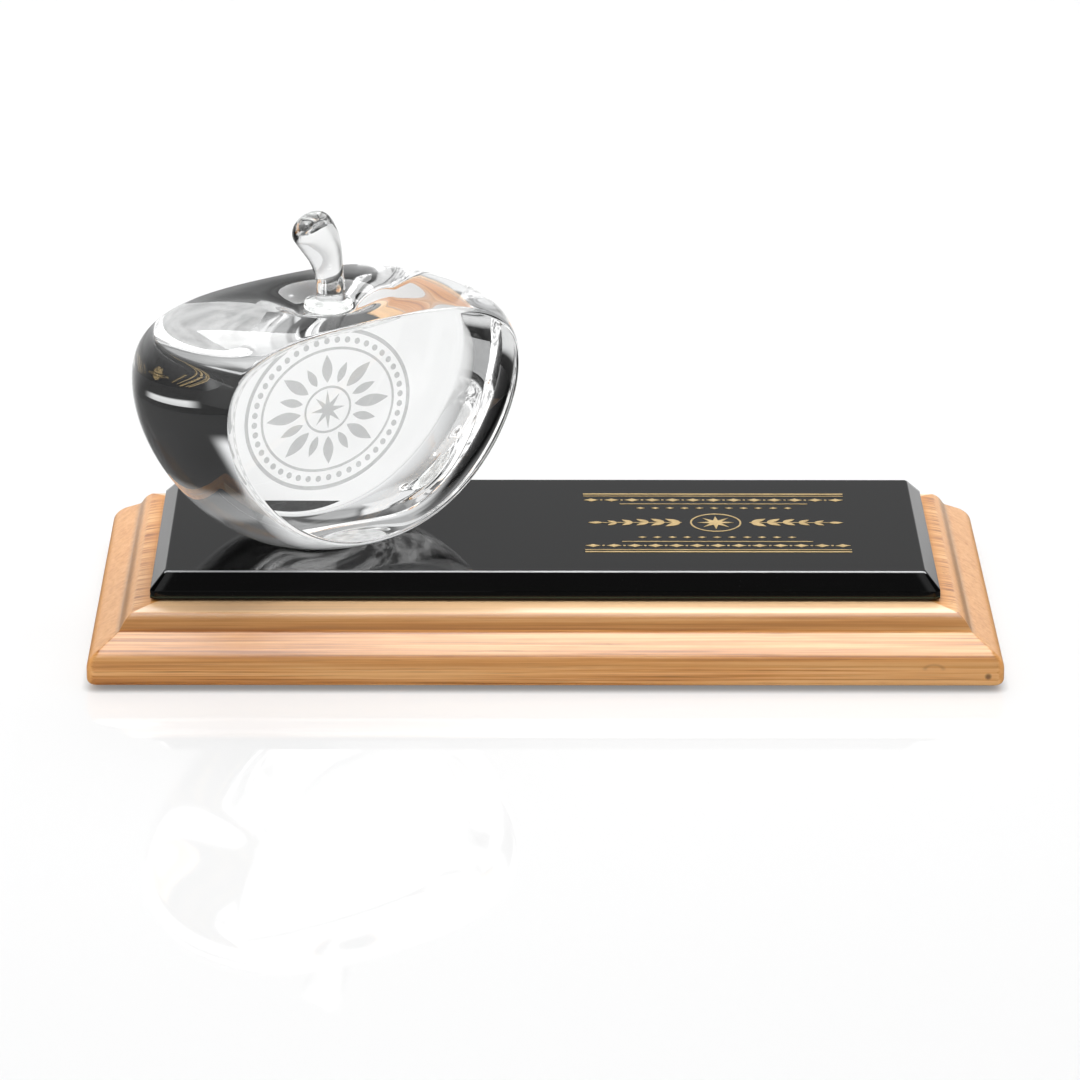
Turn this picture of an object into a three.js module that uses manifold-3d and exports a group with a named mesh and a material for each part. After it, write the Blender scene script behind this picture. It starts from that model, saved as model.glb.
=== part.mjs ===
// Desk award: a clear glass apple on a bevelled black glass plate and a moulded wooden base.
// Millimetres, +Z up. The origin is on the table, under the middle of the base. -Y is the front.

import * as THREE from 'three';
import { mergeVertices } from 'three/addons/utils/BufferGeometryUtils.js';
import Module from 'manifold-3d';

const wasm = await Module();
wasm.setup();

// Felt pads under the base
const PAD_DIAMETER = 16;
const PAD_THICKNESS = 1.5;
const PAD_EDGE_DISTANCE = 18;

// Wooden base: one solid board with a moulded edge
const BASE_SIDE_MARGIN = 17.5;
const BASE_FRONT_MARGIN = 19.5;
const BASE_THICKNESS = 18.8;
const BASE_CORNER_RADIUS = 3;
const BASE_BOTTOM_EASE = 2;
const ROUND_START_HEIGHT = 4.4;
const ROUND_PULL = 2.6;
const SLOPE_START_INSET = 3.7;
const SLOPE_START_HEIGHT = 10;
const SLOPE_END_INSET = 8.6;
const SLOPE_END_HEIGHT = 13.2;
const COVE_WIDTH = 0.9;
const COVE_RISE = 1;
const SHOULDER_WIDTH = 2.6;
const SHOULDER_DROP = 0.5;
const SHOULDER_BULGE = 0.25;
const SHOULDER_EASE = 1.1;
const MITRE_SHARPENING_INSET = 4.2;
const LEAST_CORNER_RADIUS = 0.3;

// Double-sided tape strips between the base and the plate
const TAPE_WIDTH = 19;
const TAPE_THICKNESS = 0.5;
const TAPE_EDGE_DISTANCE = 8;
const TAPE_END_DISTANCE = 12;

// Black glass plate with bevelled edges
const PLATE_LENGTH = 228.6;
const PLATE_DEPTH = 86.6;
const PLATE_THICKNESS = 7.25;
const BEVEL_WIDTH = 4.3;
const BEVEL_DROP = 4.7;
const PLATE_CORNER_CUT = 1.3;
const PLATE_ARRIS = 0.35;

// Gold rules that bound the ornament on the plate
const GOLD_THICKNESS = 0.1;
const GOLD_CENTRE_X = 50.8;
const GOLD_CENTRE_Y = 1.5;
const GOLD_WIDTH = 78;
const GOLD_DEPTH = 50;
const RULE_WIDTH = 0.9;

// Glass apple, a turned form a little flattened front to back and cut by two parallel flat faces
const APPLE_X = -63.8;
const APPLE_Y = -4.7;
const APPLE_TURN = THREE.MathUtils.degToRad(35.4);
const APPLE_WIDTH = 116.6;
const APPLE_UNCUT_DEPTH = 105;
const FACE_THICKNESS = 53.4;
const CREST_HEIGHT = 71.8;
const BELLY_HEIGHT = 49.5;
const FOOT_DIAMETER = 28;
const CREST_DIAMETER = 42;
const SEAT_DIAMETER = 17;
const SEAT_DEPTH = 3.6;
const UNDERSIDE_PULL = 22;
const FLANK_PULL = 22;
const SHOULDER_PULL = 16;
const CREST_PULL = 26;
const DIMPLE_PULL = 6;

// Bonding layers of clear adhesive
const FOOT_BOND_DIAMETER = 24;
const FOOT_BOND_THICKNESS = 0.3;
const STEM_BOND_THICKNESS = 0.2;
const BOND_INSET = 0.6;

// Collar and curved stem of clear glass
const COLLAR_DIAMETER = 14.4;
const COLLAR_THICKNESS = 2.6;
const COLLAR_GROOVE_DEPTH = 0.5;
const STEM_DIAMETER = 8.3;
const STEM_HEAD_DIAMETER = 12.7;
const STEM_HEIGHT = 21.9;
const STEM_LEAN = 6.2;
const STEM_HEAD_TILT = THREE.MathUtils.degToRad(36);
const STEM_LOWER_PULL = 9;
const STEM_UPPER_PULL = 7;
const STEM_RIM_RADIUS = 3.2;
const STEM_SWELL_START = 0.2;

// The collar and the stem were bonded by hand, a little off the apple's middle along its faces
const COLLAR_OFFSET = 0.9;
const STEM_OFFSET = 1.8;

// Smoothness of the curved surfaces
const APPLE_SEGMENTS = 88;
const PROFILE_STEPS = 10;
const ROUND_SEGMENTS = 40;
const CORNER_STEPS = 4;
const MOULDING_STEPS = 6;
const STEM_STEPS = 18;
const RIM_STEPS = 6;
const COLLAR_STEPS = 5;

// Heights that follow from the stack
const baseBottom = PAD_THICKNESS;
const tapeBottom = baseBottom + BASE_THICKNESS;
const plateBottom = tapeBottom + TAPE_THICKNESS;
const plateTop = plateBottom + PLATE_THICKNESS;
const appleBottom = plateTop + FOOT_BOND_THICKNESS;
const seatHeight = CREST_HEIGHT - SEAT_DEPTH;
const collarBottom = seatHeight + STEM_BOND_THICKNESS;
const stemBottom = collarBottom + COLLAR_THICKNESS + STEM_BOND_THICKNESS;
const baseLength = PLATE_LENGTH + 2 * BASE_SIDE_MARGIN;
const baseDepth = PLATE_DEPTH + 2 * BASE_FRONT_MARGIN;

// Materials
const honeyWood = new THREE.MeshStandardMaterial({ color: 0xe3ab6c, roughness: 0.45 });
const darkFelt = new THREE.MeshStandardMaterial({ color: 0x25231f, roughness: 0.95 });
const foamTape = new THREE.MeshStandardMaterial({ color: 0x9a9a98, roughness: 0.8 });
const blackGlass = new THREE.MeshStandardMaterial({ color: 0x17181a, roughness: 0.05 });
const goldFill = new THREE.MeshStandardMaterial({ color: 0xb79a62, roughness: 0.4, metalness: 0.8 });
const clearGlass = new THREE.MeshStandardMaterial({
  color: 0xf2f5f5, roughness: 0.03, transparent: true, opacity: 0.35,
});
const clearBond = new THREE.MeshStandardMaterial({
  color: 0xf6f6f2, roughness: 0.1, transparent: true, opacity: 0.4,
});

// A closed surface through rings of equal point count, lowest ring first, each counter-clockwise from above
function loft(rings) {
  const count = rings[0].length;
  const positions = rings.flat().flatMap((point) => [point.x, point.y, point.z]);
  const indices = [];
  for (let level = 0; level + 1 < rings.length; level += 1) {
    for (let i = 0; i < count; i += 1) {
      const a = level * count + i;
      const b = level * count + ((i + 1) % count);
      indices.push(a, b, b + count, a, b + count, a + count);
    }
  }
  const top = (rings.length - 1) * count;
  for (let i = 1; i + 1 < count; i += 1) {
    indices.push(0, i + 1, i, top, top + i, top + i + 1);
  }
  const geometry = new THREE.BufferGeometry();
  geometry.setAttribute('position', new THREE.Float32BufferAttribute(positions, 3));
  geometry.setIndex(indices);
  geometry.computeVertexNormals();
  return geometry;
}

// A level rectangle with rounded corners, as a ring of points
function roundedRectangle(halfLength, halfDepth, radius, z) {
  const ring = [];
  for (let corner = 0; corner < 4; corner += 1) {
    const sideX = corner === 0 || corner === 3 ? 1 : -1;
    const sideY = corner < 2 ? 1 : -1;
    for (let step = 0; step <= CORNER_STEPS; step += 1) {
      const angle = (corner + step / CORNER_STEPS) * (Math.PI / 2);
      ring.push(new THREE.Vector3(
        sideX * (halfLength - radius) + radius * Math.cos(angle),
        sideY * (halfDepth - radius) + radius * Math.sin(angle),
        z,
      ));
    }
  }
  return ring;
}

// A level rectangle with its corners cut off, as a ring of points
function cutRectangle(halfLength, halfDepth, cut, z) {
  const corners = [
    [halfLength, halfDepth - cut], [halfLength - cut, halfDepth],
    [-halfLength + cut, halfDepth], [-halfLength, halfDepth - cut],
    [-halfLength, -halfDepth + cut], [-halfLength + cut, -halfDepth],
    [halfLength - cut, -halfDepth], [halfLength, -halfDepth + cut],
  ];
  return corners.map(([x, y]) => new THREE.Vector3(x, y, z));
}

// A turned solid about Z from a profile of radius and height that starts and ends on the axis
function turned(points, segments) {
  return new THREE.LatheGeometry(points, segments).rotateX(Math.PI / 2);
}

// An upright disc whose lower face is at z = 0
function disc(diameter, thickness) {
  const radius = diameter / 2;
  const geometry = new THREE.CylinderGeometry(radius, radius, thickness, ROUND_SEGMENTS);
  return geometry.rotateX(Math.PI / 2).translate(0, 0, thickness / 2);
}

// Edge moulding as a path of inset and height, from the bottom up:
// eased lower edge, straight side, convex round, shallow slope, tight cove, steep shoulder, eased top
function baseMoulding() {
  const slope = (SLOPE_END_HEIGHT - SLOPE_START_HEIGHT) / (SLOPE_END_INSET - SLOPE_START_INSET);
  const coveInset = SLOPE_END_INSET + COVE_WIDTH;
  const coveTop = SLOPE_END_HEIGHT + COVE_RISE;
  const shoulderInset = coveInset + SHOULDER_WIDTH;
  const shoulderTop = BASE_THICKNESS - SHOULDER_DROP;
  const path = new THREE.Path();
  path.moveTo(BASE_BOTTOM_EASE, 0);
  path.quadraticCurveTo(0, 0, 0, BASE_BOTTOM_EASE);
  path.lineTo(0, ROUND_START_HEIGHT);
  path.bezierCurveTo(
    0, ROUND_START_HEIGHT + ROUND_PULL,
    SLOPE_START_INSET - ROUND_PULL, SLOPE_START_HEIGHT - ROUND_PULL * slope,
    SLOPE_START_INSET, SLOPE_START_HEIGHT,
  );
  path.lineTo(SLOPE_END_INSET, SLOPE_END_HEIGHT);
  path.quadraticCurveTo(
    SLOPE_END_INSET + COVE_WIDTH / 2, SLOPE_END_HEIGHT + slope * COVE_WIDTH / 2,
    coveInset, coveTop,
  );
  path.quadraticCurveTo(
    (coveInset + shoulderInset) / 2 - SHOULDER_BULGE, (coveTop + shoulderTop) / 2 + SHOULDER_BULGE,
    shoulderInset, shoulderTop,
  );
  path.quadraticCurveTo(
    shoulderInset + SHOULDER_DROP / 2, BASE_THICKNESS,
    shoulderInset + SHOULDER_EASE, BASE_THICKNESS,
  );
  return path.getPoints(MOULDING_STEPS);
}

// The upright corners are rounded low down and sharpen to a crisp mitre higher up
function woodenBase() {
  const rings = baseMoulding().map((point) => {
    const sharpening = 1 - point.x / MITRE_SHARPENING_INSET;
    const radius = Math.max(LEAST_CORNER_RADIUS, BASE_CORNER_RADIUS * sharpening);
    return roundedRectangle(baseLength / 2 - point.x, baseDepth / 2 - point.x, radius, point.y);
  });
  return loft(rings);
}

function glassPlate() {
  const edgeHeight = PLATE_THICKNESS - BEVEL_DROP;
  const levels = [
    { inset: 0, z: 0 },
    { inset: 0, z: edgeHeight },
    { inset: BEVEL_WIDTH - PLATE_ARRIS, z: PLATE_THICKNESS - PLATE_ARRIS },
    { inset: BEVEL_WIDTH + PLATE_ARRIS, z: PLATE_THICKNESS },
  ];
  const rings = levels.map(({ inset, z }) => {
    const cut = PLATE_CORNER_CUT * (1 - inset / (2 * BEVEL_WIDTH));
    return cutRectangle(PLATE_LENGTH / 2 - inset, PLATE_DEPTH / 2 - inset, cut, z);
  });
  return loft(rings);
}

// Half section of the uncut apple: flat foot, bowl, shoulder, crest, dimple and flat seat for the collar
function appleProfile() {
  const foot = FOOT_DIAMETER / 2;
  const belly = APPLE_WIDTH / 2;
  const crest = CREST_DIAMETER / 2;
  const seat = SEAT_DIAMETER / 2;
  const path = new THREE.Path();
  path.moveTo(0, 0);
  path.lineTo(foot, 0);
  path.bezierCurveTo(foot + UNDERSIDE_PULL, 0, belly, BELLY_HEIGHT - FLANK_PULL, belly, BELLY_HEIGHT);
  path.bezierCurveTo(
    belly, BELLY_HEIGHT + SHOULDER_PULL, crest + CREST_PULL, CREST_HEIGHT, crest, CREST_HEIGHT,
  );
  path.bezierCurveTo(
    crest - DIMPLE_PULL, CREST_HEIGHT, seat + DIMPLE_PULL / 2, seatHeight, seat, seatHeight,
  );
  path.lineTo(0, seatHeight);
  return path.getPoints(PROFILE_STEPS);
}

// A closed geometry as a solid that can be cut
function toSolid(geometry) {
  const bare = geometry.clone();
  bare.deleteAttribute('normal');
  bare.deleteAttribute('uv');
  const merged = mergeVertices(bare);
  const corners = merged.index.array;
  const triangles = [];
  for (let i = 0; i < corners.length; i += 3) {
    const [a, b, c] = corners.slice(i, i + 3);
    if (a !== b && b !== c && c !== a) {
      triangles.push(a, b, c);
    }
  }
  return new wasm.Manifold(new wasm.Mesh({
    numProp: 3,
    vertProperties: Float32Array.from(merged.attributes.position.array),
    triVerts: Uint32Array.from(triangles),
  }));
}

// A cut solid as a geometry again
function toGeometry(solid) {
  const { vertProperties, triVerts } = solid.getMesh();
  const geometry = new THREE.BufferGeometry();
  geometry.setAttribute('position', new THREE.Float32BufferAttribute(vertProperties, 3));
  geometry.setIndex(Array.from(triVerts));
  geometry.computeVertexNormals();
  return geometry;
}

function appleBody() {
  const uncut = turned(appleProfile(), APPLE_SEGMENTS).scale(1, APPLE_UNCUT_DEPTH / APPLE_WIDTH, 1);
  const slab = new THREE.BoxGeometry(2 * APPLE_WIDTH, FACE_THICKNESS, 4 * CREST_HEIGHT);
  return toGeometry(toSolid(uncut).intersect(toSolid(slab)));
}

// Two rounded lips with a groove between them
function stemCollar() {
  const radius = COLLAR_DIAMETER / 2;
  const lip = COLLAR_THICKNESS / 4;
  const path = new THREE.Path();
  path.moveTo(0, 0);
  path.lineTo(radius - lip, 0);
  path.absarc(radius - lip, lip, lip, -Math.PI / 2, Math.PI / 3);
  path.lineTo(radius - COLLAR_GROOVE_DEPTH, 2 * lip);
  path.absarc(radius - lip - COLLAR_GROOVE_DEPTH / 2, 3 * lip, lip, -Math.PI / 3, Math.PI / 2);
  path.lineTo(0, COLLAR_THICKNESS);
  return turned(path.getPoints(COLLAR_STEPS), ROUND_SEGMENTS);
}

// A round rod along a curve in the X-Z plane. It swells towards its head, which is cut square to the curve.
function stemRod() {
  const headSide = Math.sin(STEM_HEAD_TILT);
  const headRise = Math.cos(STEM_HEAD_TILT);
  const curve = new THREE.CubicBezierCurve3(
    new THREE.Vector3(0, 0, 0),
    new THREE.Vector3(0, 0, STEM_LOWER_PULL),
    new THREE.Vector3(-STEM_LEAN + STEM_UPPER_PULL * headSide, 0, STEM_HEIGHT - STEM_UPPER_PULL * headRise),
    new THREE.Vector3(-STEM_LEAN, 0, STEM_HEIGHT),
  );
  const ring = (centre, tangent, radius) => {
    const points = [];
    for (let i = 0; i < ROUND_SEGMENTS; i += 1) {
      const angle = (i / ROUND_SEGMENTS) * 2 * Math.PI;
      const side = radius * Math.cos(angle);
      points.push(new THREE.Vector3(
        centre.x + side * tangent.z,
        radius * Math.sin(angle),
        centre.z - side * tangent.x,
      ));
    }
    return points;
  };
  const rings = [];
  for (let i = 0; i <= STEM_STEPS; i += 1) {
    const t = i / STEM_STEPS;
    const swell = THREE.MathUtils.smoothstep(t, STEM_SWELL_START, 1);
    const radius = THREE.MathUtils.lerp(STEM_DIAMETER, STEM_HEAD_DIAMETER, swell) / 2;
    rings.push(ring(curve.getPoint(t), curve.getTangent(t), radius));
  }
  const endTangent = curve.getTangent(1);
  for (let i = 1; i <= RIM_STEPS; i += 1) {
    const angle = (i / RIM_STEPS) * (Math.PI / 2);
    const centre = curve.getPoint(1).addScaledVector(endTangent, STEM_RIM_RADIUS * Math.sin(angle));
    const radius = STEM_HEAD_DIAMETER / 2 - STEM_RIM_RADIUS * (1 - Math.cos(angle));
    rings.push(ring(centre, endTangent, radius));
  }
  return loft(rings);
}

// Assembly
const award = new THREE.Group();

function add(parent, name, geometry, material, x, y, z) {
  const mesh = new THREE.Mesh(geometry, material);
  mesh.name = name;
  mesh.position.set(x, y, z);
  parent.add(mesh);
  return mesh;
}

const padX = baseLength / 2 - PAD_EDGE_DISTANCE;
const padY = baseDepth / 2 - PAD_EDGE_DISTANCE;
for (const [place, sideX, sideY] of [
  ['front_left', -1, -1], ['front_right', 1, -1], ['back_left', -1, 1], ['back_right', 1, 1],
]) {
  const pad = disc(PAD_DIAMETER, PAD_THICKNESS);
  add(award, `felt_pad_${place}`, pad, darkFelt, sideX * padX, sideY * padY, 0);
}

add(award, 'wooden_base', woodenBase(), honeyWood, 0, 0, baseBottom);

const tapeY = PLATE_DEPTH / 2 - TAPE_EDGE_DISTANCE - TAPE_WIDTH / 2;
for (const [place, side] of [['front', -1], ['back', 1]]) {
  const strip = new THREE.BoxGeometry(PLATE_LENGTH - 2 * TAPE_END_DISTANCE, TAPE_WIDTH, TAPE_THICKNESS);
  add(award, `mounting_tape_${place}`, strip, foamTape, 0, side * tapeY, tapeBottom + TAPE_THICKNESS / 2);
}

add(award, 'glass_plate', glassPlate(), blackGlass, 0, 0, plateBottom);
for (const [place, side] of [['front', -1], ['back', 1]]) {
  const rule = new THREE.BoxGeometry(GOLD_WIDTH, RULE_WIDTH, GOLD_THICKNESS);
  const y = GOLD_CENTRE_Y + side * (GOLD_DEPTH - RULE_WIDTH) / 2;
  add(award, `gold_rule_${place}`, rule, goldFill, GOLD_CENTRE_X, y, plateTop + GOLD_THICKNESS / 2);
}

const apple = new THREE.Group();
apple.position.set(APPLE_X, APPLE_Y, appleBottom);
apple.rotation.z = APPLE_TURN;
award.add(apple);

const stemBondDiameter = STEM_DIAMETER - BOND_INSET;
const collarBondDiameter = COLLAR_DIAMETER - COLLAR_THICKNESS / 2 - BOND_INSET;
const collarTop = collarBottom + COLLAR_THICKNESS;
const footBond = disc(FOOT_BOND_DIAMETER, FOOT_BOND_THICKNESS);
const collarBond = disc(collarBondDiameter, STEM_BOND_THICKNESS);
const stemBond = disc(stemBondDiameter, STEM_BOND_THICKNESS);
add(apple, 'foot_adhesive', footBond, clearBond, 0, 0, -FOOT_BOND_THICKNESS);
add(apple, 'apple_body', appleBody(), clearGlass, 0, 0, 0);
add(apple, 'collar_adhesive', collarBond, clearBond, COLLAR_OFFSET, 0, seatHeight);
add(apple, 'stem_collar', stemCollar(), clearGlass, COLLAR_OFFSET, 0, collarBottom);
add(apple, 'stem_adhesive', stemBond, clearBond, STEM_OFFSET, 0, collarTop);
add(apple, 'stem', stemRod(), clearGlass, STEM_OFFSET, 0, stemBottom);

export default award;
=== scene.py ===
import math

import bpy
import numpy as np
from mathutils import Matrix, Vector


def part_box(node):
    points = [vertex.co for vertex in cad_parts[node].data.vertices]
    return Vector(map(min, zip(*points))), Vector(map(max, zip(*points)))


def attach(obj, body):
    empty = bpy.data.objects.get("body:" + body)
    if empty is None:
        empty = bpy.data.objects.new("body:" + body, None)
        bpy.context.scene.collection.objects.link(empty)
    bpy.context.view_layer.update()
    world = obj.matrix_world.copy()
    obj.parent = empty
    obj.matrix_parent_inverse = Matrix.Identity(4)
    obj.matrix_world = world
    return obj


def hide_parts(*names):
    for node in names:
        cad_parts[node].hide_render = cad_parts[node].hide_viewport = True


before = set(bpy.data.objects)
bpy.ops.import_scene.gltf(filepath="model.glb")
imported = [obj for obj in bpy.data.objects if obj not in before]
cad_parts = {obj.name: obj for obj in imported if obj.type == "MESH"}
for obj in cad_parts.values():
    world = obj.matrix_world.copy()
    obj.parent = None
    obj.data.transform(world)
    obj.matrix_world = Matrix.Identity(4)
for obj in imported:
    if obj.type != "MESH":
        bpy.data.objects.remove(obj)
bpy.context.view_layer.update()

MM = 0.001


# Shapes: every piece is a grid of points whose columns close on themselves

def grid_faces(rows, columns, wrap_rows):
    """Quads between the rows of a grid. The last column meets the first, and so do the rows if asked."""
    row = np.arange(rows if wrap_rows else rows - 1)[:, None]
    column = np.arange(columns)[None, :]
    next_row, next_column = (row + 1) % rows, (column + 1) % columns
    corners = (
        row * columns + column,
        row * columns + next_column,
        next_row * columns + next_column,
        next_row * columns + column,
    )
    return np.stack(np.broadcast_arrays(*corners), -1).reshape(-1, 4)


def shell(sections, wrap_rows=False):
    """Points and faces through a stack of closed rings (rows, columns, 3); open ends close with triangles."""
    rows, columns, _ = sections.shape
    points = sections.reshape(-1, 3)
    faces = [grid_faces(rows, columns, wrap_rows)]
    if not wrap_rows:
        points = np.vstack([points, sections[0].mean(0), sections[-1].mean(0)])
        first = np.arange(columns)
        following = (first + 1) % columns
        last = (rows - 1) * columns
        start, end = np.full(columns, rows * columns), np.full(columns, rows * columns + 1)
        faces.append(np.stack([start, following, first], -1))
        faces.append(np.stack([end, last + first, last + following], -1))
    return points, faces


def joined(shapes):
    """Several (points, faces) as one, with each face's numbers moved past the points before it."""
    starts = np.cumsum([0] + [len(points) for points, _ in shapes[:-1]])
    points = np.vstack([points for points, _ in shapes])
    faces = [part + start for start, (_, parts) in zip(starts, shapes) for part in parts]
    return points, faces


def enclosed_volume(points, faces):
    """Signed volume: the sum over each face's fan of triangles of a . (b x c) / 6."""
    total = 0.0
    for part in faces:
        for corner in range(1, part.shape[1] - 1):
            a, b, c = points[part[:, 0]], points[part[:, corner]], points[part[:, corner + 1]]
            total += np.einsum("ij,ij->", a, np.cross(b, c)) / 6
    return total


def new_object(name, data):
    """An object in the scene."""
    thing = bpy.data.objects.new(name, data)
    bpy.context.scene.collection.objects.link(thing)
    return thing


def make_piece(name, shape, finish, replaces=()):
    """A finished piece of the object from (points, faces), turned outwards by the sign of its volume."""
    points, faces = shape
    if enclosed_volume(points, faces) < 0:
        faces = [part[:, ::-1] for part in faces]
    mesh = bpy.data.meshes.new(name)
    mesh.vertices.add(len(points))
    mesh.vertices.foreach_set("co", points.astype(np.float32).ravel())
    sizes = np.concatenate([np.full(len(part), part.shape[1]) for part in faces])
    corners = np.concatenate([part.ravel() for part in faces])
    mesh.loops.add(len(corners))
    mesh.loops.foreach_set("vertex_index", corners.astype(np.int32))
    mesh.polygons.add(len(sizes))
    mesh.polygons.foreach_set("loop_start", np.concatenate([[0], np.cumsum(sizes)[:-1]]).astype(np.int32))
    mesh.polygons.foreach_set("use_smooth", np.ones(len(sizes), bool))
    mesh.update(calc_edges=True)
    mesh.validate()
    mesh.materials.append(finish)
    piece = new_object(name, mesh)
    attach(piece, "root")
    if replaces:
        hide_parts(*replaces)


def cubic(start, pull_start, pull_end, end, count):
    """Points of a cubic Bezier curve: the four corners weighted by the Bernstein polynomials of t."""
    t = np.linspace(0, 1, count)[:, None]
    start, pull_start, pull_end, end = np.array([start, pull_start, pull_end, end], float)
    return (
        (1 - t) ** 3 * start + 3 * (1 - t) ** 2 * t * pull_start
        + 3 * (1 - t) * t**2 * pull_end + t**3 * end
    )


def quadratic(start, pull, end, count):
    """Points of a quadratic Bezier curve, the same with one pull."""
    t = np.linspace(0, 1, count)[:, None]
    start, pull, end = np.array([start, pull, end], float)
    return (1 - t) ** 2 * start + 2 * (1 - t) * t * pull + t**2 * end


def path(*stretches):
    """Stretches of points end to end, with each shared corner kept once."""
    return np.vstack([stretches[0]] + [stretch[1:] for stretch in stretches[1:]])


# The apple stands turned about its own upright axis, over the middle of its foot
APPLE_TURN = math.radians(35.4)
apple_low, apple_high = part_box("apple_body")
foot_low, foot_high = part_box("foot_adhesive")
apple_origin = np.array([(foot_low.x + foot_high.x) / 2, (foot_low.y + foot_high.y) / 2, apple_low.z])
apple_height = apple_high.z - apple_low.z


def on_apple(points):
    """Points of the apple's own frame, X along its faces and Y into it, turned and moved to its place."""
    c, s = math.cos(APPLE_TURN), math.sin(APPLE_TURN)
    turn = np.array([[c, s, 0], [-s, c, 0], [0, 0, 1]])
    return points @ turn + apple_origin


APPLE_WIDTH = 116.6 * MM
APPLE_FLATTENING = 105 / 116.6  # its depth, had it no faces, over its width
APPLE_CENTRE_HEIGHT = 38 * MM
BELLY_HEIGHT = 49.5 * MM
FOOT_RADIUS = 14 * MM
BOWL_PULL = 22 * MM
SHOULDER_RISE = 16 * MM
SHOULDER_PULL = 26 * MM
CREST_RADIUS = 21 * MM
CREST_PULL = 6 * MM
SEAT_RADIUS = 8.5 * MM
SEAT_PULL = 3 * MM
SEAT_DEPTH = 3.6 * MM
FACE_THICKNESS = 53.4 * MM
FACE_EDGE_RADIUS = 1.3 * MM
FACE_RINGS = np.array([0.997, 0.985, 0.9, 0.7, 0.4])
WALL_RINGS = 78
APPLE_COLUMNS = 360
HALVINGS = 40


def apple_profile():
    """Half section as (radius, height): flat foot, bowl, shoulder, crest, dimple, flat seat."""
    belly, seat_height = APPLE_WIDTH / 2, apple_height - SEAT_DEPTH
    return path(
        np.linspace((0, 0), (FOOT_RADIUS, 0), 24),
        cubic(
            (FOOT_RADIUS, 0), (FOOT_RADIUS + BOWL_PULL, 0),
            (belly, BELLY_HEIGHT - BOWL_PULL), (belly, BELLY_HEIGHT), 160,
        ),
        cubic(
            (belly, BELLY_HEIGHT), (belly, BELLY_HEIGHT + SHOULDER_RISE),
            (CREST_RADIUS + SHOULDER_PULL, apple_height), (CREST_RADIUS, apple_height), 160,
        ),
        cubic(
            (CREST_RADIUS, apple_height), (CREST_RADIUS - CREST_PULL, apple_height),
            (SEAT_RADIUS + SEAT_PULL, seat_height), (SEAT_RADIUS, seat_height), 60,
        ),
        np.linspace((SEAT_RADIUS, seat_height), (0, seat_height), 16),
    )


def apple_reach(direction, depth):
    """How far the uncut apple's section at a depth reaches from its middle. Directions start upright.

    The half section, as distance over angle about the middle, says whether a point lies inside. A bisection
    finds where a ray leaves it. The depth counts 1 / APPLE_FLATTENING, so the plan is an ellipse.
    """
    profile = apple_profile()
    across, up = profile[:, 0], profile[:, 1] - APPLE_CENTRE_HEIGHT
    angles, distances = np.arctan2(across, up)[::-1], np.hypot(across, up)[::-1]
    inside, outside = np.zeros_like(direction + depth), np.full_like(direction + depth, APPLE_WIDTH)
    for _ in range(HALVINGS):
        middle = (inside + outside) / 2
        radius = np.hypot(middle * np.sin(direction), depth / APPLE_FLATTENING)
        height = middle * np.cos(direction)
        within = np.hypot(radius, height) < np.interp(np.arctan2(radius, height), angles, distances)
        inside, outside = np.where(within, middle, inside), np.where(within, outside, middle)
    return inside


def apple_shape():
    """Rings round the apple's middle line: the front face, a rounded edge, the wall, and the back alike."""
    half, edge = FACE_THICKNESS / 2, FACE_EDGE_RADIUS
    turn = np.linspace(0, math.pi / 2, 9)[1:]
    edge_depth, edge_inset = half - edge + edge * np.sin(turn), edge * (1 - np.cos(turn))
    wall_depth = np.linspace(-(half - edge), half - edge, WALL_RINGS)
    depth = np.concatenate([-edge_depth[::-1], wall_depth, edge_depth])
    inset = np.concatenate([edge_inset[::-1], np.zeros(WALL_RINGS), edge_inset])
    direction = np.linspace(0, 2 * math.pi, APPLE_COLUMNS, endpoint=False)[None, :]
    reach = apple_reach(direction, depth[:, None]) - inset[:, None]
    reach = np.vstack([FACE_RINGS[::-1, None] * reach[0], reach, FACE_RINGS[:, None] * reach[-1]])
    face_depth = np.full(len(FACE_RINGS), half)
    depth = np.concatenate([-face_depth, depth, face_depth])[:, None]
    sections = np.stack(np.broadcast_arrays(
        reach * np.sin(direction), depth, APPLE_CENTRE_HEIGHT + reach * np.cos(direction),
    ), -1)
    points, faces = shell(sections)
    points[-2:] = [[0, -half, APPLE_CENTRE_HEIGHT], [0, half, APPLE_CENTRE_HEIGHT]]
    return on_apple(points), faces


def turned_shape(profile, columns=96):
    """A (radius, height) profile carried round the upright axis."""
    angle = np.linspace(0, 2 * math.pi, columns, endpoint=False)[None, :]
    radius, height = profile[:, 0, None], profile[:, 1, None]
    return shell(np.stack(np.broadcast_arrays(radius * np.cos(angle), radius * np.sin(angle), height), -1))


COLLAR_RADIUS = 7.2 * MM
COLLAR_GROOVE = 0.5 * MM
COLLAR_FLAT = 0.3 * COLLAR_RADIUS
LIP_FLATTENING = 0.92


def collar_shape():
    """Two rounded lips with a soft groove between them."""
    low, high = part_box("stem_collar")
    bottom, top = low.z - apple_origin[2], high.z - apple_origin[2]
    lip = (top - bottom) / 4
    bulge = np.linspace(-math.pi / 2, math.pi / 2, 15)
    out, up = lip * np.cos(bulge), lip * LIP_FLATTENING * np.sin(bulge)
    lower = np.stack([COLLAR_RADIUS - lip + out, bottom + lip + up], -1)
    upper = np.stack([COLLAR_RADIUS - lip - COLLAR_GROOVE / 2 + out, top - lip + up], -1)
    lower[0, 1], upper[-1, 1] = bottom, top
    profile = np.vstack([
        [(COLLAR_FLAT, bottom), (COLLAR_RADIUS - 1.6 * lip, bottom)], lower, upper,
        [(COLLAR_RADIUS - 1.9 * lip, top), (COLLAR_FLAT, top)],
    ])
    points, faces = turned_shape(profile)
    return on_apple(points + (collar_shift, 0, 0)), faces


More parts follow.
